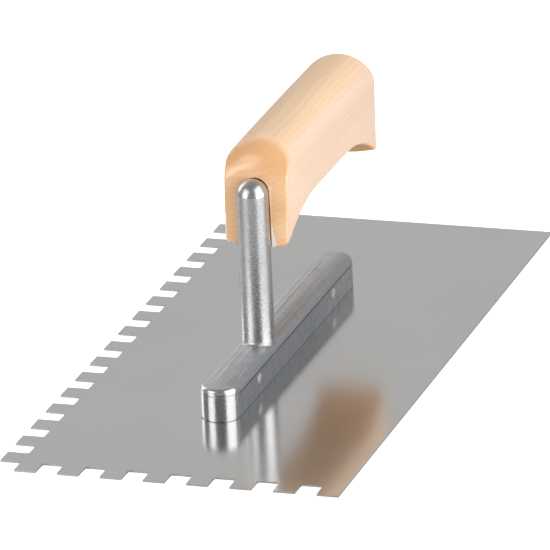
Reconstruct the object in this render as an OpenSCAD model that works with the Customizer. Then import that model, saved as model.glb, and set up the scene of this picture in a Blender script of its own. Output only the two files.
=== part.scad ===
// Square-notch trowel: thin steel blade, cast mount bar with a post,
// wooden handle drawn onto the post by one long screw.
// Frame: origin at the centre of the blade's bottom face, +X to the toe,
// +Y to the plain long edge, +Z up. Millimetres.

/* [Blade] */
// length of the blade along X
blade_l = 280; // [279:0.5:282]
// width of the blade along Y
blade_w = 130; // [129:0.5:131]
// sheet thickness
blade_t = 0.7; // [0.6:0.05:0.9]
// side of each square notch
notch = 8; // [6:0.25:8.5]
// radius in the inner corners of a notch
notch_r = 0.6; // [0.3:0.1:1.5]
// number of notches on the long edge, the corner one included
n_long = 17; // [17:1:17]
// number of notches on the toe edge, the corner one included
n_toe = 8; // [8:1:8]

/* [Mount bar] */
// X of the middle of the bar
bar_cx = 3.6; // [0:0.2:8]
// Y of the middle of the bar
bar_cy = -0.4; // [-0.6:0.1:0.6]
// overall length of the bar
bar_l = 153.2; // [150:0.2:156]
// width of the bar
bar_w = 14.7; // [14.6:0.1:15.4]
// height where the side wall ends and the shoulder starts
wall_z = 9.8; // [9.4:0.1:10.4]
// radius of the rounded shoulder above the side wall
shoulder_r = 3.2; // [2.8:0.1:3.4]
// height of the crown of the top
crown_z = 13.5; // [13.4:0.1:14]

/* [Post] */
// X of the post axis
post_x = 28.2; // [27:0.1:29]
// radius of the post at its foot
post_r1 = 6.2; // [6:0.05:6.4]
// radius of the post at its head
post_r2 = 5.9; // [5.8:0.05:6]
// height of the middle of the rounded head
head_z = 70.2; // [69:0.1:71]
// radius of the fillet at the foot
foot_r = 0.9; // [0.4:0.1:1.1]

/* [Rivets] */
// spacing of the rivets along the bar
rivet_pitch = 22.9; // [21:0.1:23]
// number of rivets
n_rivets = 7; // [5:2:7]
// shank radius
rivet_r = 2; // [1.8:0.1:2.2]
// radius of the flush countersunk head
rivet_head_r = 3.2; // [2.8:0.1:3.6]
// height of the end of the shank inside the bar
rivet_top = 7; // [5:0.5:8]

/* [Handle] */
// X of the front face at the bore
grip_x1 = 24.3; // [23.8:0.1:25]
// X of the heel face at the bore
grip_x2 = -85.4; // [-87:0.1:-84.5]
// half width at the heel
grip_hw2 = 13.4; // [13:0.1:13.6]
// half width at the front
grip_hw1 = 12.1; // [12:0.1:12.6]
// lowest line of the handle
grip_z1 = 47.6; // [47.2:0.1:48.2]
// highest line of the handle
grip_z2 = 88.8; // [88.6:0.1:89.4]
// ceiling of the finger recess
recess_z = 60.9; // [60:0.1:61.5]
// radius of the arch of the top
arch_r = 14.8; // [14.6:0.1:15.4]
// slope of the front face, forward at the bottom
front_lean = 4; // [2:0.5:5]
// slope of the heel face, forward at the bottom
heel_lean = 1.5; // [1:0.5:3]

/* [Fixing] */
// radius of the long handle screw
screw_r = 3; // [2.5:0.1:3.2]
// radius of the bore through the handle
bore_r = 3.3; // [3.25:0.05:3.6]
// radius of the counterbore in the heel
cbore_r = 7; // [6.8:0.1:7.4]
// X of the floor of the counterbore
cbore_x = -76.5; // [-78:0.5:-75]
// washer thickness
washer_t = 1.2; // [1:0.1:1.6]
// washer radius
washer_r = 6.5; // [6:0.1:6.6]
// screw head radius
screw_head_r = 5.5; // [5:0.1:5.8]
// screw head height
screw_head_h = 4; // [3:0.1:4.4]

/* [Hidden] */
eps = 0.01;
pitch_long = blade_l / n_long;
pitch_toe = blade_w / n_toe;
bar_r = bar_w / 2;
bar_x1 = bar_cx + bar_l / 2 - bar_r;
bar_x2 = bar_cx - bar_l / 2 + bar_r;
seat_gap = 0.15;
head_x = cbore_x - washer_t;

// square notch with small corner radii, open towards -Y, inner side at y = 0
module notch2d() {
  translate([notch_r, -notch - 2]) square([notch - 2 * notch_r, notch + 2]);
  translate([0, -notch - 2]) square([notch, notch + 2 - notch_r]);
  translate([notch_r, -notch_r]) circle(r = notch_r, $fn = 24);
  translate([notch - notch_r, -notch_r]) circle(r = notch_r, $fn = 24);
}

module blade() {
  color([0.67, 0.67, 0.66])
  difference() {
    translate([-blade_l / 2, -blade_w / 2, 0]) cube([blade_l, blade_w, blade_t]);
    translate([0, 0, -1]) linear_extrude(blade_t + 2) {
      for (k = [1 : n_long - 1])
        translate([blade_l / 2 - k * pitch_long - notch, -blade_w / 2 + notch]) notch2d();
      for (k = [1 : n_toe - 1])
        translate([blade_l / 2 - notch, -blade_w / 2 + k * pitch_toe]) rotate(90) notch2d();
      translate([blade_l / 2 - notch, -blade_w / 2 - 2]) square([notch + 2, notch + 2]);
    }
    for (i = [1 : n_rivets]) translate([rivet_x(i), bar_cy, 0]) {
      translate([0, 0, -eps]) cylinder(h = blade_t + 2 * eps, r = rivet_r, $fn = 48);
      cylinder(h = blade_t, r1 = rivet_head_r, r2 = rivet_r, $fn = 48);
    }
  }
}

function rivet_x(i) = bar_cx + (i - (n_rivets + 1) / 2) * rivet_pitch;

// right half of the bar's cross-section, x out from the centre line
module bar_half2d() {
  in_x = bar_r - shoulder_r;
  top_z = wall_z + shoulder_r;
  translate([0, blade_t]) square([bar_r, wall_z - blade_t]);
  translate([0, blade_t]) square([in_x, top_z - blade_t]);
  intersection() {
    translate([in_x, wall_z]) circle(r = shoulder_r, $fn = 96);
    translate([in_x - 0.5, blade_t]) square([shoulder_r + 1, top_z]);
  }
  polygon([[0, top_z - 1], [in_x, top_z - 1], [in_x, top_z], [0, crown_z]]);
}

module bar_body() {
  translate([bar_x2, bar_cy, 0]) rotate([90, 0, 90]) linear_extrude(bar_x1 - bar_x2) {
    bar_half2d();
    mirror([1, 0]) bar_half2d();
  }
  translate([bar_x1, bar_cy, 0]) rotate_extrude($fn = 96) bar_half2d();
  translate([bar_x2, bar_cy, 0]) rotate_extrude($fn = 96) bar_half2d();
}

module mount() {
  color([0.62, 0.63, 0.64])
  difference() {
    union() {
      bar_body();
      for (s = [-1, 1]) for (d = [-2, 2]) intersection() {
        translate([bar_cx + d * rivet_pitch, bar_cy + s * (bar_r - 1.9), 4.3])
          cylinder(h = 5.2, r = 2.3, $fn = 48);
        translate([bar_cx + d * rivet_pitch - 4, bar_cy + s * (bar_r - 1) - 2, 4]) cube([8, 4, 8]);
      }
      translate([post_x, 0, 8]) cylinder(h = head_z - 8, r1 = post_r1, r2 = post_r2, $fn = 96);
      translate([post_x, 0, head_z]) sphere(r = post_r2, $fn = 96);
      translate([post_x, 0, crown_z - 1.2])
        cylinder(h = 1.5, r1 = post_r1 + foot_r, r2 = post_r1, $fn = 96);
    }
    for (i = [1 : n_rivets]) translate([rivet_x(i), bar_cy, 0])
      cylinder(h = rivet_top, r = rivet_r, $fn = 48);
    translate([post_x - 10, 0, head_z]) rotate([0, 90, 0]) cylinder(h = 12, r = screw_r, $fn = 48);
  }
}

module rivet(i) {
  color([0.72, 0.72, 0.73])
  translate([rivet_x(i), bar_cy, 0]) {
    cylinder(h = blade_t, r1 = rivet_head_r, r2 = rivet_r, $fn = 48);
    cylinder(h = rivet_top, r = rivet_r, $fn = 48);
  }
}

// side view of the handle block, x along X and y along Z
module grip_side2d() {
  lean1 = tan(front_lean);
  lean2 = tan(heel_lean);
  difference() {
    intersection() {
      polygon([
        [grip_x1 + (head_z - grip_z1 + 2) * lean1, grip_z1 - 2],
        [grip_x1 - (grip_z2 - head_z + 2) * lean1, grip_z2 + 2],
        [grip_x2 - (grip_z2 - head_z + 2) * lean2, grip_z2 + 2],
        [grip_x2 + (head_z - grip_z1 + 2) * lean2, grip_z1 - 2]
      ]);
      translate([-40, grip_z2 - 4000]) circle(r = 4000, $fn = 720);
    }
    // front top edge
    difference() {
      translate([grip_x1 - 7.5, grip_z2 - 7.6]) square([12, 12]);
      translate([grip_x1 - 7.6, grip_z2 - 7.9]) circle(r = 6.6, $fn = 96);
    }
    // heel top edge
    difference() {
      translate([grip_x2 - 8, grip_z2 - 5.8]) square([12, 12]);
      translate([grip_x2 + 3.8, grip_z2 - 6]) circle(r = 4.8, $fn = 96);
    }
    // finger recess
    translate([-8, recess_z - 50]) circle(r = 50, $fn = 360);
    translate([-50, recess_z - 52]) circle(r = 52, $fn = 360);
    translate([-50, grip_z1 - 10]) square([42, recess_z - grip_z1 + 10]);
  }
}

// end view of the handle block, x along Y and y along Z
module grip_end2d() {
  intersection() {
    translate([0, grip_z2 - arch_r]) circle(r = arch_r, $fn = 180);
    translate([-grip_hw2, grip_z1 + 8]) square([2 * grip_hw2, 40]);
  }
  intersection() {
    translate([0, grip_z1 + 28]) circle(r = 28, $fn = 180);
    union() {
      translate([-grip_hw2, grip_z1 + 4.6]) square([2 * grip_hw2, 24]);
      translate([-grip_hw2 + 2, grip_z1 - 1]) square([2 * grip_hw2 - 4, 20]);
      for (s = [-1, 1]) translate([s * (grip_hw2 - 2), grip_z1 + 4.6]) circle(r = 2, $fn = 60);
    }
  }
}

// top view of the handle block
module grip_plan2d() {
  difference() {
    polygon([[grip_x1 + 3, -grip_hw1], [grip_x1 + 3, grip_hw1],
             [-46, grip_hw1 + 0.5], [-62, grip_hw2], [grip_x2 - 4, grip_hw2],
             [grip_x2 - 4, -grip_hw2], [-62, -grip_hw2], [-46, -grip_hw1 - 0.5]]);
    for (s = [-1, 1]) scale([1, s]) difference() {
      translate([grip_x2 - 8, grip_hw2 - 3.4]) square([10, 10]);
      translate([grip_x2 + 2.2, grip_hw2 - 3.6]) circle(r = 3.6, $fn = 72);
    }
  }
}

module handle() {
  color([0.86, 0.68, 0.47])
  difference() {
    intersection() {
      translate([0, 20, 0]) rotate([90, 0, 0]) linear_extrude(40) grip_side2d();
      translate([-100, 0, 0]) rotate([90, 0, 90]) linear_extrude(140) grip_end2d();
      translate([0, 0, 40]) linear_extrude(60) grip_plan2d();
    }
    // seat for the post and its head
    translate([post_x, 0, 40])
      cylinder(h = head_z - 40, r1 = post_r1 + seat_gap + 0.45, r2 = post_r2 + seat_gap, $fn = 96);
    translate([post_x, 0, head_z]) sphere(r = post_r2 + seat_gap, $fn = 96);
    // bore and counterbore
    translate([-100, 0, head_z]) rotate([0, 90, 0]) cylinder(h = 130, r = bore_r, $fn = 48);
    translate([-100, 0, head_z]) rotate([0, 90, 0]) cylinder(h = 100 + cbore_x, r = cbore_r, $fn = 72);
  }
}

module tie_screw() {
  color([0.55, 0.55, 0.56])
  difference() {
    union() {
      translate([head_x, 0, head_z]) rotate([0, 90, 0])
        cylinder(h = post_x + 2 - head_x, r = screw_r, $fn = 48);
      translate([head_x - screw_head_h, 0, head_z]) rotate([0, 90, 0])
        cylinder(h = screw_head_h, r = screw_head_r, $fn = 72);
    }
    translate([head_x - screw_head_h - 1, 0, head_z]) rotate([0, 90, 0])
      cylinder(h = 3.5, r = 2.9, $fn = 6);
  }
}

module heel_washer() {
  color([0.7, 0.7, 0.72])
  translate([head_x, 0, head_z]) rotate([0, 90, 0]) difference() {
    cylinder(h = washer_t, r = washer_r, $fn = 72);
    translate([0, 0, -1]) cylinder(h = washer_t + 2, r = screw_r + 0.2, $fn = 48);
  }
}

blade();
mount();
rivet(1);  // rivet_1
rivet(2);  // rivet_2
rivet(3);  // rivet_3
rivet(4);  // rivet_4
rivet(5);  // rivet_5
rivet(6);  // rivet_6
rivet(7);  // rivet_7
handle();
tie_screw();
heel_washer();
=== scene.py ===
"""Looks of the square-notch trowel: steel blade, cast mount bar and post, beech handle."""
import math
import bmesh
import bpy
from mathutils import Matrix, Vector


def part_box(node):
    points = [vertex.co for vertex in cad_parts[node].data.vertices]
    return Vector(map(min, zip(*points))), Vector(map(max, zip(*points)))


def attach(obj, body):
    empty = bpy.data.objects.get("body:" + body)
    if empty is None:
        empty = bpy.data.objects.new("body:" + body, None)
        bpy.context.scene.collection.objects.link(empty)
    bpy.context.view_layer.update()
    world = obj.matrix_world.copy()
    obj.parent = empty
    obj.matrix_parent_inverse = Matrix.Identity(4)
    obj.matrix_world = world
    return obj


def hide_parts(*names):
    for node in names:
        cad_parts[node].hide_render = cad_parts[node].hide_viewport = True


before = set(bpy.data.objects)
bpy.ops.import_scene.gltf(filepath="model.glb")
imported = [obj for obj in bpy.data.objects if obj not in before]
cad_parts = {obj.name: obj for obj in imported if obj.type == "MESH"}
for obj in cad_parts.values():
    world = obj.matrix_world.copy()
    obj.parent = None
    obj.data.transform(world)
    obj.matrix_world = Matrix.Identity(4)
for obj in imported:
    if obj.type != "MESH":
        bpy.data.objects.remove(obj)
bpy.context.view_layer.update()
MM = 0.001


def mm_box(node):
    """Lowest and highest corner of a CAD node in millimetres."""
    return [[c / MM for c in corner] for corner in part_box(node)]


BLADE_TOP = mm_box("blade")[1][2]
MOUNT_LOW, MOUNT_HIGH = mm_box("mount")
GRIP_LOW, GRIP_HIGH = mm_box("handle")
SCREW_LOW, SCREW_HIGH = mm_box("tie_screw")
COUNTERBORE_X = mm_box("heel_washer")[1][0]
BOSS_RIVETS = [mm_box("rivet_2"), mm_box("rivet_6")]

# ---------------------------------------------------------------- sizes of the mount in mm
# pips on the side walls: height of the middle, half sizes, how far the middle is sunk in and
# how far the CAD's pips stand proud
BOSS_Z = 6.7
BOSS_HALF = (3.2, 0.98, 2.5)
BOSS_SUNK = 0.62
BOSS_PROUD = 0.4
# bar: Y of its middle line, half width, and X of the middles of its front and back ends
BAR_CY = (MOUNT_LOW[1] + MOUNT_HIGH[1]) / 2
BAR_R = (MOUNT_HIGH[1] - MOUNT_LOW[1]) / 2 - BOSS_PROUD
BAR_X1 = MOUNT_HIGH[0] - BAR_R
BAR_X2 = MOUNT_LOW[0] + BAR_R
# top of the side wall, the shoulder over it, the bar's highest line, and the parting ledge
WALL_Z = 9.8
SHOULDER_R = 3.2
CROWN_Z = 13.5
LEDGE_Z = 9.5
LEDGE_DEPTH = 0.5
# the shoulder's radius round the ground nose
NOSE_R = 1.6
# flow marks on the cast top: height, half width, and the line's (x, y) with y from the bar's middle
FLOW_MARKS = [
    (0.30, 0.45, [(74, 5.2), (52, 5.5), (33, 6.1)]),
    (0.24, 0.50, [(74, -1.4), (56, -1.9), (36, -2.4)]),
    (0.24, 0.40, [(70, 6.2), (54, 4.2), (44, 2.5), (32, -0.4)]),
    (0.18, 0.40, [(48, -4.6), (40, -2.4)]),
    (0.26, 0.50, [(20, -2.2), (-10, -2.3), (-64, -2.2)]),
    (-0.08, 0.60, [(20, 3.4), (-20, 3.2), (-60, 2.4)]),
]
# post: X of its middle, height of its dome's middle, radius at the bar and at the dome, foot fillet
POST_X = SCREW_HIGH[0] - 2
HEAD_Z = (SCREW_LOW[2] + SCREW_HIGH[2]) / 2
POST_R1 = 6.2
POST_R2 = MOUNT_HIGH[2] - HEAD_Z
FOOT_R = 0.9

# ---------------------------------------------------------------- sizes of the handle in mm
# X of both end faces at the post's dome, and how far they lean
FRONT_X = 24.3
HEEL_X = -85.4
FRONT_SLOPE = math.tan(math.radians(4))
HEEL_SLOPE = math.tan(math.radians(1.5))
# half widths at the front and in the middle, and what the heel adds
FRONT_HALF = 12.1
MIDDLE_HALF = 12.9
HEEL_FLARE = 0.5
# finger recess: its ceiling, and the arcs that end it
RECESS_Z = 60.9
RECESS_FRONT_X = -8
RECESS_FRONT_R = 50
RECESS_HEEL_X = -50
RECESS_HEEL_R = 52
# roundings between flank and top, and of the front's top edge
CREASE_R = 4.5
FRONT_ROUND = 11.0
# gap round the post and over its dome
SEAT_GAP = 0.5
SEAT_HEAD_GAP = 0.9
BORE_R = 3.3
COUNTERBORE_R = 7

# ---------------------------------------------------------------- helpers
# edges that turn more than this, in degrees, are shaded sharp
SHARP_ANGLE = 32


def lerp(a, b, t):
    """The value a share t of the way from a to b."""
    return a + (b - a) * t


def smooth(a, b, x):
    """0 below a, 1 above b, smooth between them."""
    t = min(max((x - a) / (b - a), 0), 1)
    return t * t * (3 - 2 * t)


def arc(cy, cz, radius, start, end, count):
    """Points of an arc with their outward normals, both ends included; angles in degrees."""
    points = []
    for k in range(count):
        a = math.radians(lerp(start, end, k / (count - 1)))
        points.append((cy + radius * math.cos(a), cz + radius * math.sin(a), math.cos(a), math.sin(a)))
    return points


def mesh_object(name, points, faces):
    """A mesh object from points in mm, with doubles merged and normals outward."""
    mesh = bpy.data.meshes.new(name)
    bm = bmesh.new()
    verts = [bm.verts.new([c * MM for c in p]) for p in points]
    for face in faces:
        bm.faces.new([verts[i] for i in face])
    bmesh.ops.remove_doubles(bm, verts=bm.verts, dist=1e-6)
    bmesh.ops.dissolve_degenerate(bm, edges=bm.edges, dist=1e-6)
    bmesh.ops.recalc_face_normals(bm, faces=bm.faces)
    bm.to_mesh(mesh)
    bm.free()
    obj = bpy.data.objects.new(name, mesh)
    bpy.context.collection.objects.link(obj)
    return obj


def skin(rings, cap_end=True):
    """Points and faces of a loft through closed rings of equal length, closed at its start."""
    n = len(rings[0])
    points = [p for ring in rings for p in ring]
    faces = []
    for k in range(len(rings) - 1):
        for i in range(n):
            j = (i + 1) % n
            faces.append((k * n + i, k * n + j, (k + 1) * n + j, (k + 1) * n + i))
    faces.append(tuple(range(n)))
    if cap_end:
        faces.append(tuple((len(rings) - 1) * n + i for i in reversed(range(n))))
    return points, faces


def combine(obj, other, operation):
    """Exact boolean of obj with other; other is used up."""
    mod = obj.modifiers.new(operation.lower(), "BOOLEAN")
    mod.operation = operation
    mod.solver = "EXACT"
    mod.object = other
    graph = bpy.context.evaluated_depsgraph_get()
    mesh = bpy.data.meshes.new_from_object(obj.evaluated_get(graph))
    obj.modifiers.clear()
    obj.data = mesh
    bpy.data.objects.remove(other)


def finish_piece(obj, material, node):
    obj.data.materials.clear()
    obj.data.materials.append(material)
    obj.data.shade_smooth()
    obj.data.set_sharp_from_angle(angle=math.radians(SHARP_ANGLE))
    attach(obj, "root")
    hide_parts(node)


# ---------------------------------------------------------------- material nodes
class Graph:
    """Short calls for building one material's node tree."""

    def __init__(self, name):
        self.mat = bpy.data.materials.new(name)
        self.mat.use_nodes = True
        self.tree = self.mat.node_tree
        self.bsdf = self.tree.nodes["Principled BSDF"]
        self.position = self.tree.nodes.new("ShaderNodeTexCoord").outputs["Object"]

    def node(self, kind, **settings):
        node = self.tree.nodes.new("ShaderNode" + kind)
        for key, value in settings.items():
            setattr(node, key, value)
        return node

    def link(self, source, target):
        if isinstance(source, (int, float)):
            target.default_value = source
        else:
            self.tree.links.new(source, target)

    def set(self, **values):
        for key, value in values.items():
            self.bsdf.inputs[key.replace("_", " ")].default_value = value

    def math(self, operation, a, b=0.0):
        node = self.node("Math", operation=operation)
        self.link(a, node.inputs[0])
        self.link(b, node.inputs[1])
        return node.outputs[0]

    def axis(self, name):
        node = self.node("SeparateXYZ")
        self.link(self.position, node.inputs[0])
        return node.outputs[name]

    def stretched(self, scale):
        """Object position scaled by (x, y, z), in 1/m."""
        node = self.node("Mapping")
        self.link(self.position, node.inputs["Vector"])
        node.inputs["Scale"].default_value = scale
        return node.outputs[0]

    def noise(self, vector, detail=2.0, roughness=0.5):
        """Noise of about one patch to each unit of the vector, so that stretched() sets its size."""
        node = self.node("TexNoise")
        self.link(vector, node.inputs["Vector"])
        node.inputs["Scale"].default_value = 1.0
        node.inputs["Detail"].default_value = detail
        node.inputs["Roughness"].default_value = roughness
        return node.outputs[0]

    def spread(self, value, low, high, out_low=0.0, out_high=1.0, soft=False):
        """The value's range from low to high mapped to out_low to out_high and held there."""
        node = self.node("MapRange")
        if soft:
            node.interpolation_type = "SMOOTHSTEP"
        self.link(value, node.inputs[0])
        for socket, number in zip(node.inputs[1:5], (low, high, out_low, out_high)):
            socket.default_value = number
        return node.outputs[0]

    def mix(self, factor, a, b):
        """Colour mix of a and b, each a colour or a socket."""
        node = self.node("Mix", data_type="RGBA")
        self.link(factor, node.inputs[0])
        for socket, value in zip((node.inputs[6], node.inputs[7]), (a, b)):
            if isinstance(value, tuple):
                socket.default_value = (*value, 1)
            else:
                self.link(value, socket)
        return node.outputs[2]

    def blend(self, factor, a, b):
        """Number mix of a and b."""
        node = self.node("Mix", data_type="FLOAT")
        self.link(factor, node.inputs[0])
        self.link(a, node.inputs[2])
        self.link(b, node.inputs[3])
        return node.outputs[0]

    def bump(self, height, distance, strength=1.0):
        node = self.node("Bump")
        self.link(height, node.inputs["Height"])
        node.inputs["Distance"].default_value = distance
        node.inputs["Strength"].default_value = strength
        self.link(node.outputs[0], self.bsdf.inputs["Normal"])


def blade_material():
    """Bright rolled sheet with fine streaks along X in its gloss."""
    g = Graph("rolled_steel")
    g.set(Metallic=1.0)
    rolling = g.noise(g.stretched((40, 2500, 400)), detail=3)
    cloud = g.noise(g.stretched((18, 26, 20)), detail=2)
    tone = g.spread(cloud, 0.3, 0.7)
    g.link(g.mix(tone, (0.585, 0.58, 0.568), (0.605, 0.60, 0.588)), g.bsdf.inputs["Base Color"])
    g.link(g.spread(rolling, 0.3, 0.7, 0.135, 0.16), g.bsdf.inputs["Roughness"])
    return g.mat


def cast_material():
    """Raw casting with flow lines on the bar, and the bar's nose and the post's dome polished."""
    g = Graph("cast_metal")
    g.set(Metallic=1.0)
    x = g.axis("X")
    z = g.axis("Z")
    nose_x = BAR_X1 + 1
    dome_z = HEAD_Z + 0.4
    grain = g.noise(g.stretched((1600, 1600, 1600)), detail=2, roughness=0.6)
    mottle = g.noise(g.stretched((260, 260, 260)), detail=4, roughness=0.6)
    wobble = g.spread(mottle, 0.3, 0.7, -0.0006, 0.0006)
    nose = g.spread(g.math("ADD", x, wobble), nose_x * MM, (nose_x + 1.4) * MM, soft=True)
    dome = g.spread(z, dome_z * MM, (dome_z + 0.8) * MM, soft=True)
    polished = g.math("MAXIMUM", nose, dome)
    on_post = g.spread(z, CROWN_Z * MM, (CROWN_Z + 1.5) * MM)
    on_wall = g.spread(z, (LEDGE_Z + 0.6) * MM, LEDGE_Z * MM)
    lines = g.noise(g.stretched((34, 950, 0)), detail=4, roughness=0.65)
    top = g.mix(g.spread(lines, 0.38, 0.70), (0.53, 0.54, 0.555), (0.70, 0.71, 0.725))
    side = g.mix(g.spread(x, -0.015, -0.075), (0.42, 0.445, 0.475), (0.60, 0.62, 0.645))
    # painted shade: the bar's top is coloured darker towards its right side
    top = g.mix(g.spread(g.axis("Y"), -0.0005, 0.0045, 0.0, 0.75), top, (0.40, 0.41, 0.425))
    raw = g.mix(on_wall, top, side)
    beyond = g.math("ABSOLUTE", g.math("SUBTRACT", g.axis("Y"), BAR_CY * MM))
    # painted highlight: the pips that stand out of the side wall are coloured near white, for the glint
    # they catch
    pip = g.math("MULTIPLY", on_wall, g.spread(beyond, (BAR_R + 0.01) * MM, (BAR_R + 0.05) * MM))
    raw = g.mix(pip, raw, (0.92, 0.925, 0.93))
    raw = g.mix(on_post, raw, (0.60, 0.605, 0.61))
    dirt = g.spread(mottle, 0.42, 0.66)
    dirt = g.math("MULTIPLY", dirt, g.blend(on_post, g.blend(on_wall, 0.15, 0.45), 0.16))
    raw = g.mix(dirt, raw, (0.27, 0.28, 0.30))
    speck = g.spread(grain, 0.56, 0.72)
    raw = g.mix(g.math("MULTIPLY", speck, 0.35), raw, (0.78, 0.785, 0.79))
    g.link(g.mix(polished, raw, (0.59, 0.595, 0.60)), g.bsdf.inputs["Base Color"])
    rough = g.blend(on_post, g.spread(mottle, 0.3, 0.7, 0.38, 0.50), g.spread(grain, 0.3, 0.7, 0.19, 0.28))
    polished_rough = g.blend(dome, g.spread(grain, 0.3, 0.7, 0.20, 0.28), 0.28)
    g.link(g.blend(polished, rough, polished_rough), g.bsdf.inputs["Roughness"])
    depth = g.blend(polished, 1.0, 0.3)
    swell = g.math("MULTIPLY", mottle, g.blend(on_post, 1.4, 0.25))
    height = g.math("MULTIPLY", g.math("ADD", grain, swell), depth)
    g.bump(height, 0.00011)
    return g.mat


def rivet_material():
    """Plain steel of the rivets under the bar."""
    g = Graph("rivet_metal")
    g.set(Metallic=1.0)
    grain = g.noise(g.stretched((900, 900, 900)), detail=3)
    g.link(g.mix(grain, (0.55, 0.55, 0.56), (0.68, 0.68, 0.69)), g.bsdf.inputs["Base Color"])
    g.link(g.spread(grain, 0.3, 0.7, 0.2, 0.34), g.bsdf.inputs["Roughness"])
    g.bump(grain, 0.00003)
    return g.mat


def screw_material():
    """Zinc-plated steel of the screw and its washer."""
    g = Graph("zinc_plated_steel")
    g.set(Metallic=1.0)
    grain = g.noise(g.stretched((500, 500, 500)), detail=3)
    g.link(g.mix(grain, (0.50, 0.51, 0.53), (0.66, 0.66, 0.67)), g.bsdf.inputs["Base Color"])
    g.link(g.spread(grain, 0.3, 0.7, 0.18, 0.30), g.bsdf.inputs["Roughness"])
    g.bump(grain, 0.00002)
    return g.mat


# centre and spacing of the growth rings across the handle, in metres
RING_Y = 0.0136
RING_Z = 0.108
RING_STEP = 0.0021


def wood_material():
    """Beech: pale flanks, darker end grain, and clear lacquer that shows on the rounded front end."""
    g = Graph("lacquered_beech")
    normal = g.node("NewGeometry").outputs["Normal"]
    split = g.node("SeparateXYZ")
    g.link(normal, split.inputs[0])
    # where the surface faces the ends, the sides, the floor, and the chamfer beside the seat
    end = g.spread(g.math("ABSOLUTE", split.outputs["X"]), 0.08, 0.60, soft=True)
    flank = g.spread(g.math("ABSOLUTE", split.outputs["Y"]), 0.55, 0.85, soft=True)
    underside_painted_light = g.spread(split.outputs["Z"], -0.15, -0.45)
    inward = g.spread(split.outputs["Y"], -0.10, -0.18)
    low = g.spread(g.axis("Z"), 0.0615, 0.0605)
    end = g.math("MULTIPLY", end, g.math("SUBTRACT", 1.0, g.math("MULTIPLY", inward, low)))

    # growth rings: distance from a line along X, drifting a little, as a saw-tooth
    drift = g.noise(g.stretched((14, 55, 55)), detail=3)
    y = g.math("ADD", g.axis("Y"), RING_Y)
    z = g.math("SUBTRACT", g.axis("Z"), RING_Z)
    radius = g.math("SQRT", g.math("ADD", g.math("MULTIPLY", y, y), g.math("MULTIPLY", z, z)))
    radius = g.math("ADD", radius, g.spread(drift, 0.25, 0.75, -0.0014, 0.0014))
    saw = g.math("FRACT", g.math("MULTIPLY", radius, 1 / RING_STEP))
    late = g.math("MULTIPLY", g.spread(saw, 0.35, 0.9, soft=True), g.spread(saw, 1.0, 0.93, soft=True))

    fibre = g.noise(g.stretched((70, 1300, 1300)), detail=3, roughness=0.6)
    streak = g.noise(g.stretched((9, 160, 160)), detail=3, roughness=0.55)
    fleck = g.spread(g.noise(g.stretched((260, 1500, 2300)), detail=1), 0.64, 0.74)
    pores = g.noise(g.stretched((2400, 2400, 2400)), detail=2)

    # long grain, then end grain, then the chamfer
    light = g.mix(flank, (0.90, 0.645, 0.43), (0.84, 0.63, 0.485))
    dark = g.mix(flank, (0.83, 0.56, 0.35), (0.79, 0.57, 0.425))
    # painted light: the underside's colours are brighter and more orange, standing in for light thrown up
    # from below
    light = g.mix(underside_painted_light, light, (0.98, 0.66, 0.43))
    dark = g.mix(underside_painted_light, dark, (0.93, 0.59, 0.37))
    side = g.mix(g.spread(streak, 0.3, 0.7), light, dark)
    side = g.mix(g.math("MULTIPLY", late, 0.15), side, (0.62, 0.40, 0.24))
    side = g.mix(g.math("MULTIPLY", g.spread(fibre, 0.35, 0.75), 0.15), side, (0.86, 0.68, 0.52))
    side = g.mix(g.math("MULTIPLY", fleck, 0.25), side, (0.55, 0.34, 0.20))
    patch = g.noise(g.stretched((40, 60, 170)), detail=3)
    grain = g.mix(g.spread(patch, 0.35, 0.65), (0.86, 0.555, 0.31), (0.77, 0.445, 0.21))
    upper = g.spread(g.axis("Z"), 0.0735, 0.080, soft=True)
    # end grain deeper in tone high up, and darker towards the left: the leftward part is partly the wood's
    # own tone, partly painted shade of the post
    left_painted_shade = g.spread(g.axis("Y"), 0.004, -0.009)
    deep_tone_and_shade = g.math("MAXIMUM", g.math("MULTIPLY", upper, 0.75), g.math("MULTIPLY", left_painted_shade, 0.4))
    grain = g.mix(deep_tone_and_shade, grain, (0.64, 0.33, 0.13))
    grain = g.mix(g.math("MULTIPLY", late, 0.17), grain, (0.55, 0.29, 0.13))
    grain = g.mix(g.math("MULTIPLY", g.spread(pores, 0.4, 0.7), 0.2), grain, (0.78, 0.50, 0.29))
    # the chamfer beside the seat: paler bare wood, made near white as painted light from the front-left
    # lamp
    chamfer_bare_and_lit = g.math("MULTIPLY", g.math("MULTIPLY", inward, low), g.spread(g.axis("X"), 0.0235, 0.0240))
    side = g.mix(chamfer_bare_and_lit, side, (0.98, 0.87, 0.78))
    colour = g.mix(end, side, grain)
    # painted shade: the seat's surface is coloured near black, so that the gap round the post shows dark
    across = g.math("SUBTRACT", g.axis("X"), POST_X * MM)
    y = g.axis("Y")
    plan = g.math("ADD", g.math("MULTIPLY", across, across), g.math("MULTIPLY", y, y))
    shrink = (POST_R2 + SEAT_GAP) / (POST_R2 + SEAT_HEAD_GAP)
    rise = g.math("MAXIMUM", g.math("SUBTRACT", g.axis("Z"), HEAD_Z * MM), 0.0)
    rise = g.math("MULTIPLY", rise, shrink)
    away = g.math("SQRT", g.math("ADD", plan, g.math("MULTIPLY", rise, rise)))
    wall = (POST_R2 + SEAT_GAP) * MM
    # painted shade mask: the seat's surface just inside the gap round the post
    hollow = g.spread(away, wall + 0.00012, wall + 0.00004)
    g.link(g.mix(hollow, colour, (0.12, 0.06, 0.03)), g.bsdf.inputs["Base Color"])
    rough = g.blend(underside_painted_light, g.spread(fibre, 0.3, 0.7, 0.34, 0.44), 0.75)
    g.link(rough, g.bsdf.inputs["Roughness"])
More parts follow.
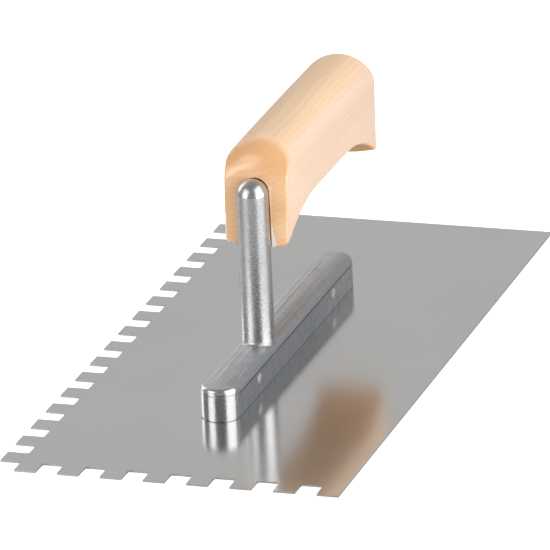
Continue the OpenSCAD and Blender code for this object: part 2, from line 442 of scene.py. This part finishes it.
    # clear lacquer on the rounded front end
    lacquer = g.spread(split.outputs["X"], 0.24, 0.54, soft=True)
    lacquer = g.math("MULTIPLY", lacquer, g.spread(split.outputs["Y"], -0.36, -0.10, soft=True))
    lacquer = g.math("MULTIPLY", lacquer, g.math("SUBTRACT", 1.0, g.math("MAXIMUM", underside_painted_light, hollow)))
    g.link(lacquer, g.bsdf.inputs["Coat Weight"])
    g.set(Specular_IOR_Level=0.2, Coat_Roughness=0.18, Coat_IOR=1.8)
    height = g.math("ADD", fibre, g.math("MULTIPLY", late, 0.3))
    g.bump(height, 0.00004, 0.6)
    return g.mat


# ---------------------------------------------------------------- camera
CAMERA_AT = (2.45144, 0.81782, 0.97298)
CAMERA_AZIMUTH = 18.49
CAMERA_ELEVATION = 20.07
CAMERA_ROLL = -2.45
CAMERA_LENS = 484.3


def add_camera():
    """The camera stands at an azimuth and elevation seen from the object, with a slight roll."""
    data = bpy.data.cameras.new("Camera")
    cam = bpy.data.objects.new("Camera", data)
    bpy.context.collection.objects.link(cam)
    data.sensor_width = 36
    data.lens = CAMERA_LENS
    data.clip_end = 100
    az, el, roll = (math.radians(a) for a in (CAMERA_AZIMUTH, CAMERA_ELEVATION, CAMERA_ROLL))
    forward = Vector((-math.cos(el) * math.cos(az), -math.cos(el) * math.sin(az), -math.sin(el)))
    right = forward.cross(Vector((0, 0, 1))).normalized()
    up = right.cross(forward)
    tilted_right = math.cos(roll) * right + math.sin(roll) * up
    tilted_up = -math.sin(roll) * right + math.cos(roll) * up
    columns = Matrix((tilted_right, tilted_up, -forward)).transposed().to_4x4()
    cam.matrix_world = Matrix.Translation(CAMERA_AT) @ columns
    bpy.context.scene.camera = cam
    bpy.context.scene.view_settings.view_transform = "Standard"


# ---------------------------------------------------------------- floor and light
FLOOR_TONE = 0.55
# the world behind the lights: its darkest and brightest strength, and the azimuth of its bright side
WORLD_LOW = 0.26
WORLD_HIGH = 0.69
BRIGHT_SIDE = 206
# softboxes: name, azimuth and elevation, half width and half height in degrees, radiance
LIGHTS = [
    ("light_right_low", 77, 7, 28.5, 7, 5.0),
    ("light_right_middle", 77, 23, 28.5, 9, 1.9),
    ("light_right_high", 84, 45, 28.5, 14, 1.7),
    ("light_front_left_low", -36, 12, 17, 10, 2.8),
    ("light_front_left_high", -36, 35, 18.5, 12, 1.5),
    ("light_back_left", -120, 27, 15, 16, 1.1),
    ("light_back_left_low", -105, 14, 7, 8, 2.4),
]
# these light the surfaces but don't show in their reflections
FILLS = [("fill_front", 25, 8, 20, 8, 7.0), ("fill_top", 0, 88, 30, 30, 0.4)]
LIGHT_CENTRE = (0.03, 0, 0.04)
LIGHT_DISTANCE = 1.1


def softbox(name, azimuth, elevation, half_width, half_height, radiance):
    """A soft rectangular light that faces the object; its place and size are angles seen from there."""
    az, el = math.radians(azimuth), math.radians(elevation)
    way = Vector((math.cos(el) * math.cos(az), math.cos(el) * math.sin(az), math.sin(el)))
    data = bpy.data.lights.new(name, "AREA")
    data.shape = "RECTANGLE"
    data.size = 2 * LIGHT_DISTANCE * math.tan(math.radians(half_width))
    data.size_y = 2 * LIGHT_DISTANCE * math.tan(math.radians(half_height))
    data.energy = math.pi * data.size * data.size_y * radiance
    obj = bpy.data.objects.new(name, data)
    bpy.context.collection.objects.link(obj)
    place = Matrix.Translation(Vector(LIGHT_CENTRE) + way * LIGHT_DISTANCE)
    obj.matrix_world = place @ way.to_track_quat("Z", "Y").to_matrix().to_4x4()
    obj.visible_camera = False
    return obj


def add_floor():
    """A plain floor: white to the camera, and mid grey to light and reflections."""
    bpy.ops.mesh.primitive_plane_add(size=40, location=(0, 0, -0.0003))
    floor = bpy.context.object
    floor.name = "floor"
    mat = bpy.data.materials.new("white_floor")
    mat.use_nodes = True
    tree = mat.node_tree
    paint = tree.nodes["Principled BSDF"]
    paint.inputs["Base Color"].default_value = (FLOOR_TONE, FLOOR_TONE, FLOOR_TONE, 1)
    paint.inputs["Roughness"].default_value = 0.28
    paint.inputs["Emission Color"].default_value = (1, 1, 1, 1)
    path = tree.nodes.new("ShaderNodeLightPath")
    tree.links.new(path.outputs["Is Camera Ray"], paint.inputs["Emission Strength"])
    floor.data.materials.append(mat)


def add_world():
    """Grey surroundings that brighten smoothly towards one side."""
    world = bpy.data.worlds.new("studio")
    bpy.context.scene.world = world
    world.use_nodes = True
    tree = world.node_tree
    background = tree.nodes["Background"]
    coords = tree.nodes.new("ShaderNodeTexCoord")
    facing = tree.nodes.new("ShaderNodeVectorMath")
    facing.operation = "DOT_PRODUCT"
    az = math.radians(BRIGHT_SIDE)
    facing.inputs[1].default_value = (0.5 * math.cos(az), 0.5 * math.sin(az), 0)
    half = tree.nodes.new("ShaderNodeMath")
    half.operation = "ADD"
    half.use_clamp = True
    half.inputs[1].default_value = 0.5
    curve = tree.nodes.new("ShaderNodeMath")
    curve.operation = "POWER"
    curve.inputs[1].default_value = 3.2
    level = tree.nodes.new("ShaderNodeMapRange")
    level.inputs[3].default_value = WORLD_LOW
    level.inputs[4].default_value = WORLD_HIGH
    tree.links.new(coords.outputs["Generated"], facing.inputs[0])
    tree.links.new(facing.outputs["Value"], half.inputs[0])
    tree.links.new(half.outputs[0], curve.inputs[0])
    tree.links.new(curve.outputs[0], level.inputs[0])
    tree.links.new(level.outputs[0], background.inputs["Strength"])
    background.inputs["Color"].default_value = (1, 1, 1, 1)


def add_lights():
    """All the softboxes; only the fills are left out of reflections."""
    for light in LIGHTS:
        softbox(*light)
    for fill in FILLS:
        softbox(*fill).visible_glossy = False


# ---------------------------------------------------------------- handle
def half_width(x):
    """Half width of the grip at x: a slight taper to the front and a wider heel."""
    return lerp(FRONT_HALF, MIDDLE_HALF, smooth(28, 2, x)) + HEEL_FLARE * smooth(-44, -64, x)


def arc_drop(across, radius):
    """How far an arc has fallen below its top at a distance across from it."""
    return radius - math.sqrt(max(radius ** 2 - across ** 2, 1))


def lower_line(x):
    """Height of the underside at x: tips at both ends and the finger recess between them."""
    tip = GRIP_LOW[2]
    curve = RECESS_Z
    if x > RECESS_FRONT_X:
        curve -= arc_drop(x - RECESS_FRONT_X, RECESS_FRONT_R)
    elif x < RECESS_HEEL_X:
        curve -= arc_drop(x - RECESS_HEEL_X, RECESS_HEEL_R)
    soft = 0.35
    return tip + soft * math.log(1 + math.exp((curve - tip) / soft))


def arch_at(x):
    """Height of the top line at x, and the radius of the section's arch there."""
    top = GRIP_HIGH[2] - (x + 40) ** 2 / 8000
    return top, lerp(15.3, 14.3, (x - HEEL_X) / (FRONT_X - HEEL_X))


def grip_half(x):
    """Right half of the section at x, from the bottom centre to the top centre: (y, z, ny, nz).

    The underside is an arc that flattens in the recess. A corner, a straight flank, the crease
    and the arch follow. crown, corner and arch are radii.
    """
    top, arch = arch_at(x)
    width = half_width(x)
    low = lower_line(x)
    rise = low - GRIP_LOW[2]
    crown = 28 * (1 + (rise / 1.5) ** 2)
    corner = 1.3 + 1.3 * math.exp(-(rise / 2) ** 2)
    corner_z = low + crown - math.sqrt((crown - corner) ** 2 - (width - corner) ** 2)
    turn = math.degrees(math.atan2(corner_z - low - crown, width - corner))
    crease_up = math.sqrt((arch - CREASE_R) ** 2 - (width - CREASE_R) ** 2)
    lean = math.degrees(math.atan2(crease_up, width - CREASE_R))
    crease_z = top - arch + crease_up
    points = arc(0, low + crown, crown, -90, turn, 9)[:-1]
    points += arc(width - corner, corner_z, corner, turn, 0, 7)
    points += [(width, lerp(corner_z, crease_z, k / 10), 1, 0) for k in range(1, 10)]
    points += arc(width - CREASE_R, crease_z, CREASE_R, 0, lean, 7)
    points += arc(0, top - arch, arch, lean, 90, 15)[1:]
    return points


def grip_ring(x_of, inset=None):
    """(y, z) of half a ring of the grip, drawn in by the insets. x_of(k, z) gives x of point k.

    x depends on the point's height and its height on x, so a few rounds settle both.
    """
    half = []
    for k in range(GRIP_POINTS):
        z = HEAD_Z
        for _ in range(5):
            y, z, ny, nz = grip_half(x_of(k, z))[k]
        if inset:
            y, z = y - ny * inset[k], z - nz * inset[k]
        half.append((y, z))
    return half


def edge_radius(k, bottom, side, top):
    """Radius of the rounding towards an end face at point k of the half section."""
    flank_start = 14
    if k < flank_start:
        return lerp(bottom, side, smooth(6, 16, k))
    return lerp(side, top, smooth(22, 29, k))


GRIP_POINTS = len(grip_half(0))
# the arch where the front's rounding starts, and the height of its centre
FRONT_TOP, FRONT_ARCH = arch_at(FRONT_X - FRONT_ROUND - 1)
CORE_Z = FRONT_TOP - FRONT_ARCH


def front_x(z):
    """x of the flat front face at height z."""
    return FRONT_X + (HEAD_Z - z) * FRONT_SLOPE


def heel_x(z):
    """x of the heel face at height z."""
    return HEEL_X + (HEAD_Z - z) * HEEL_SLOPE


def front_face(y, z):
    """x of the front face at (y, z), drawn back where its top edge is rounded."""
    depth = CORE_Z + math.sqrt(FRONT_ARCH ** 2 - y ** 2) - z + 2.0 * (y / FRONT_HALF) ** 6
    gap = FRONT_ROUND - min(max(depth, 0), FRONT_ROUND)
    return front_x(z) - FRONT_ROUND + math.sqrt(FRONT_ROUND ** 2 - gap ** 2)


def front_end(k, radius):
    """x where the straight run of point k ends and its front edge begins."""
    x = FRONT_X - 5
    for _ in range(12):
        y, z, _, _ = grip_half(x)[k]
        x = front_face(y, z) - radius
    return x


def build_grip():
    """The grip lofted from heel to front, then cut for the seat, its chamfer and the screw."""
    front = [edge_radius(k, 1.0, 0.7, 1.6) * (1 - smooth(30, 40, k)) for k in range(GRIP_POINTS)]
    front_ends = [front_end(k, front[k]) for k in range(GRIP_POINTS)]
    heel = [edge_radius(k, 1.4, 3.6, 4.8) for k in range(GRIP_POINTS)]
    rings = []

    def close(half, x_of):
        """Add the whole ring that the right half and its mirror image make."""
        right = [(x_of(k, z), y, z) for k, (y, z) in enumerate(half)]
        left = [(x, -y, z) for x, y, z in right[-2:0:-1]]
        rings.append(right + left)

    # rounded heel edge, straight run, rounded front edge, then the front face drawn in to its core
    steps = 9
    for j in range(steps):
        a = math.radians(90 * j / steps)
        inset = [r * (1 - math.sin(a)) for r in heel]
        half = grip_ring(lambda k, z: heel_x(z) + heel[k], inset)
        close(half, lambda k, z: heel_x(z) + heel[k] * (1 - math.cos(a)))
    body = 64
    for j in range(body + 1):
        t = 0.5 - 0.5 * math.cos(math.pi * j / body)

        def along(k, z):
            return lerp(heel_x(z) + heel[k], front_ends[k], t)

        close(grip_ring(along), along)
    for j in range(1, steps + 1):
        a = math.radians(90 * j / steps)
        half = grip_ring(lambda k, z: front_ends[k], [r * (1 - math.cos(a)) for r in front])
        close(half, lambda k, z: front_face(half[k][0], z) - front[k] * (1 - math.sin(a)))
    edge = half
    cap = 18
    for m in range(1, cap + 1):
        share = 1 - (1 - math.cos(math.pi / 2 * m / cap)) * FRONT_ROUND / FRONT_ARCH
        half = [(y * share, lerp(CORE_Z, z, share)) for y, z in edge]
        close(half, lambda k, z: front_face(half[k][0], z))
    grip = mesh_object("handle_wood", *skin(rings))
    combine(grip, post_seat(), "DIFFERENCE")
    combine(grip, seat_chamfer(), "DIFFERENCE")
    combine(grip, screw_bore(), "DIFFERENCE")
    return grip


def post_seat():
    """The hollow in the front face that the post sits in: a cylinder with a dome on it."""
    count = 72
    seat_r = POST_R2 + SEAT_GAP
    levels = [(seat_r, lerp(40, HEAD_Z, k / 24)) for k in range(25)]
    for j in range(1, 13):
        a = math.radians(90 * j / 12.001)
        levels.append((seat_r * math.cos(a), HEAD_Z + (POST_R2 + SEAT_HEAD_GAP) * math.sin(a)))
    rings = []
    for r, z in levels:
        rings.append([(POST_X + r * math.cos(2 * math.pi * i / count),
                       r * math.sin(2 * math.pi * i / count), z) for i in range(count)])
    return mesh_object("seat", *skin(rings))


def seat_chamfer():
    """The sloping cut on the right of the seat: nothing at its top, widest at the bottom."""
    beyond_front = 33
    bm = bmesh.new()
    for x, y, z in ((25.01, 5.30, 62), (24.90, 5.50, 44), (26.25, 9.60, 44)):
        bm.verts.new((x * MM, y * MM, z * MM))
        bm.verts.new((beyond_front * MM, y * MM, z * MM))
    bmesh.ops.convex_hull(bm, input=bm.verts)
    mesh = bpy.data.meshes.new("chamfer")
    bmesh.ops.recalc_face_normals(bm, faces=bm.faces)
    bm.to_mesh(mesh)
    bm.free()
    obj = bpy.data.objects.new("chamfer", mesh)
    bpy.context.collection.objects.link(obj)
    return obj


def screw_bore():
    """The screw's bore and its counterbore, whose rim at the heel is broken by a small chamfer."""
    count = 64
    rim = COUNTERBORE_R + 0.5
    profile = [(HEEL_X - 9.6, rim), (HEEL_X - 0.8, rim), (HEEL_X + 0.2, COUNTERBORE_R),
               (COUNTERBORE_X, COUNTERBORE_R), (COUNTERBORE_X, BORE_R), (FRONT_X + 8, BORE_R)]
    rings = []
    for x, radius in profile:
        rings.append([(x, radius * math.cos(2 * math.pi * i / count),
                       HEAD_Z + radius * math.sin(2 * math.pi * i / count)) for i in range(count)])
    return mesh_object("bore", *skin(rings))


# ---------------------------------------------------------------- mount
def bar_profile(shoulder, ledge, groove):
    """(inset, z) pairs of the bar from the bottom edge up over the shoulder to the centre.

    shoulder is a radius. ledge and groove are how far the ledge and the foot are cut in.
    """
    top = WALL_Z + SHOULDER_R
    points = [(groove, BLADE_TOP), (groove, BLADE_TOP + 0.25), (0, BLADE_TOP + 0.4)]
    points += [(0, lerp(BLADE_TOP + 0.4, LEDGE_Z - 0.05, k / 12)) for k in range(1, 13)]
    points += [(ledge, LEDGE_Z), (ledge, LEDGE_Z + 0.35), (0.05, LEDGE_Z + 0.42), (0, LEDGE_Z + 0.55)]
    for k in range(15):
        a = math.radians(lerp(26, 86, k / 14))
        points.append((shoulder * (1 - math.cos(a)), top - shoulder + shoulder * math.sin(a)))
    for k in range(1, 19):
        t = k / 18
        points.append((lerp(shoulder, BAR_R, t), lerp(top, CROWN_Z, math.sin(t * math.pi / 2))))
    return points


def nose_share(x):
    """0 along the cast bar, 1 round the ground front nose, where the ledge is gone."""
    return smooth(BAR_X1 - 3, BAR_X1 + 2.5, x)


def ridge(x, y, line, width):
    """A soft ridge along a line of (x, y) points, fading out at both ends."""
    if not line[-1][0] <= x <= line[0][0]:
        return 0
    for (xa, ya), (xb, yb) in zip(line, line[1:]):
        if xb <= x <= xa:
            centre = lerp(ya, yb, (xa - x) / (xa - xb))
    fade = smooth(line[0][0], line[0][0] - 5, x) * smooth(line[-1][0], line[-1][0] + 5, x)
    return fade * math.exp(-((y - centre) / width) ** 2)


def relief(x, y):
    """Height of the flow marks and worn ridges on the cast top; y is from the bar's middle."""
    height = 0
    for depth, width, line in FLOW_MARKS:
        height += depth * ridge(x, y, line, width)
    return height


def outline_points():
    """(centre x, direction) pairs round the bar; the direction is in the XY plane."""
    points = []
    straight = 180
    turn = 40
    for k in range(straight):
        points.append((lerp(BAR_X2, BAR_X1, k / straight), (0, 1)))
    for k in range(turn):
        a = math.radians(90 - 180 * k / turn)
        points.append((BAR_X1, (math.cos(a), math.sin(a))))
    for k in range(straight):
        points.append((lerp(BAR_X1, BAR_X2, k / straight), (0, -1)))
    for k in range(turn):
        a = math.radians(270 - 180 * k / turn)
        points.append((BAR_X2, (math.cos(a), math.sin(a))))
    return points


def bar_top(offset):
    """Height of the bar's top, without relief, at an offset to the side of its middle line."""
    inner = BAR_R - SHOULDER_R
    if offset > inner:
        return WALL_Z + math.sqrt(max(SHOULDER_R ** 2 - (offset - inner) ** 2, 0))
    return lerp(WALL_Z + SHOULDER_R, CROWN_Z, math.sin((1 - offset / inner) * math.pi / 2))


def build_mount():
    """The casting: the bar, the post joined to it, and two pips on each side wall."""
    columns = []
    for cx, (dx, dy) in outline_points():
        share = nose_share(cx + dx * BAR_R)
        ledge = LEDGE_DEPTH * (1 - share)
        profile = bar_profile(lerp(SHOULDER_R, NOSE_R, share), ledge, lerp(0.15, 0.35, share))
        column = []
        for inset, z in profile:
            r = max(BAR_R - inset, 0)
            x, y = cx + dx * r, BAR_CY + dy * r
            column.append((x, y, z + relief(x, y - BAR_CY) if z > LEDGE_Z + 1 else z))
        columns.append(column)
    rings = [list(ring) for ring in zip(*columns)]
    bar = mesh_object("mount_casting", *skin(rings, cap_end=False))
    combine(bar, build_post(), "UNION")
    for low, high in BOSS_RIVETS:
        for side in (-1, 1):
            combine(bar, boss((low[0] + high[0]) / 2, BAR_CY + side * (BAR_R - BOSS_SUNK)), "UNION")
    return bar


def boss(x, y):
    """A small oval pip, to be sunk in the side wall at (x, y)."""
    rings = []
    for j in range(1, 12):
        a = math.radians(180 * j / 12 - 90)
        r, z = math.cos(a), BOSS_Z + BOSS_HALF[2] * math.sin(a)
        rings.append([(x + BOSS_HALF[0] * r * math.cos(2 * math.pi * i / 24),
                       y + BOSS_HALF[1] * r * math.sin(2 * math.pi * i / 24), z) for i in range(24)])
    return mesh_object("boss", *skin(rings))


def build_post():
    """The post with its foot fillet lying on the bar's rounded top, and its domed head."""
    angles = [2 * math.pi * i / 96 for i in range(96)]
    foot_r = POST_R1 + FOOT_R
    foot_z = [bar_top(abs(foot_r * math.sin(a) - BAR_CY)) for a in angles]
    inside_wall = BAR_CY + BAR_R - 0.15

    def on_bar(r, lift):
        return [(POST_X + r * math.cos(a), min(r * math.sin(a), inside_wall), z + lift)
                for a, z in zip(angles, foot_z)]

    def level(r, z):
        return [(POST_X + r * math.cos(a), r * math.sin(a), z) for a in angles]

    rings = [on_bar(foot_r, -2)]
    for j in range(9):
        t = math.radians(90 * j / 8)
        rings.append(on_bar(POST_R1 + FOOT_R * (1 - math.sin(t)), FOOT_R * (1 - math.cos(t)) - 0.03))
    start = CROWN_Z + FOOT_R + 0.5
    for k in range(24):
        z = lerp(start, HEAD_Z, k / 23)
        rings.append(level(lerp(POST_R1, POST_R2, (z - 8) / (HEAD_Z - 8)), z))
    for j in range(1, 17):
        t = math.radians(90 * j / 16.001)
        rings.append(level(POST_R2 * math.cos(t), HEAD_Z + POST_R2 * math.sin(t)))
    return mesh_object("post", *skin(rings))


# ---------------------------------------------------------------- build
add_camera()
add_floor()
add_world()
add_lights()
finish_piece(build_mount(), cast_material(), "mount")
finish_piece(build_grip(), wood_material(), "handle")

rivet_look = rivet_material()
screw_look = screw_material()
looks = {"blade": blade_material(), "tie_screw": screw_look, "heel_washer": screw_look}
for node_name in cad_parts:
    if node_name in ("mount", "handle"):
        continue
    node = bpy.data.objects[node_name]
    node.data.materials.clear()
    node.data.materials.append(looks.get(node_name, rivet_look))
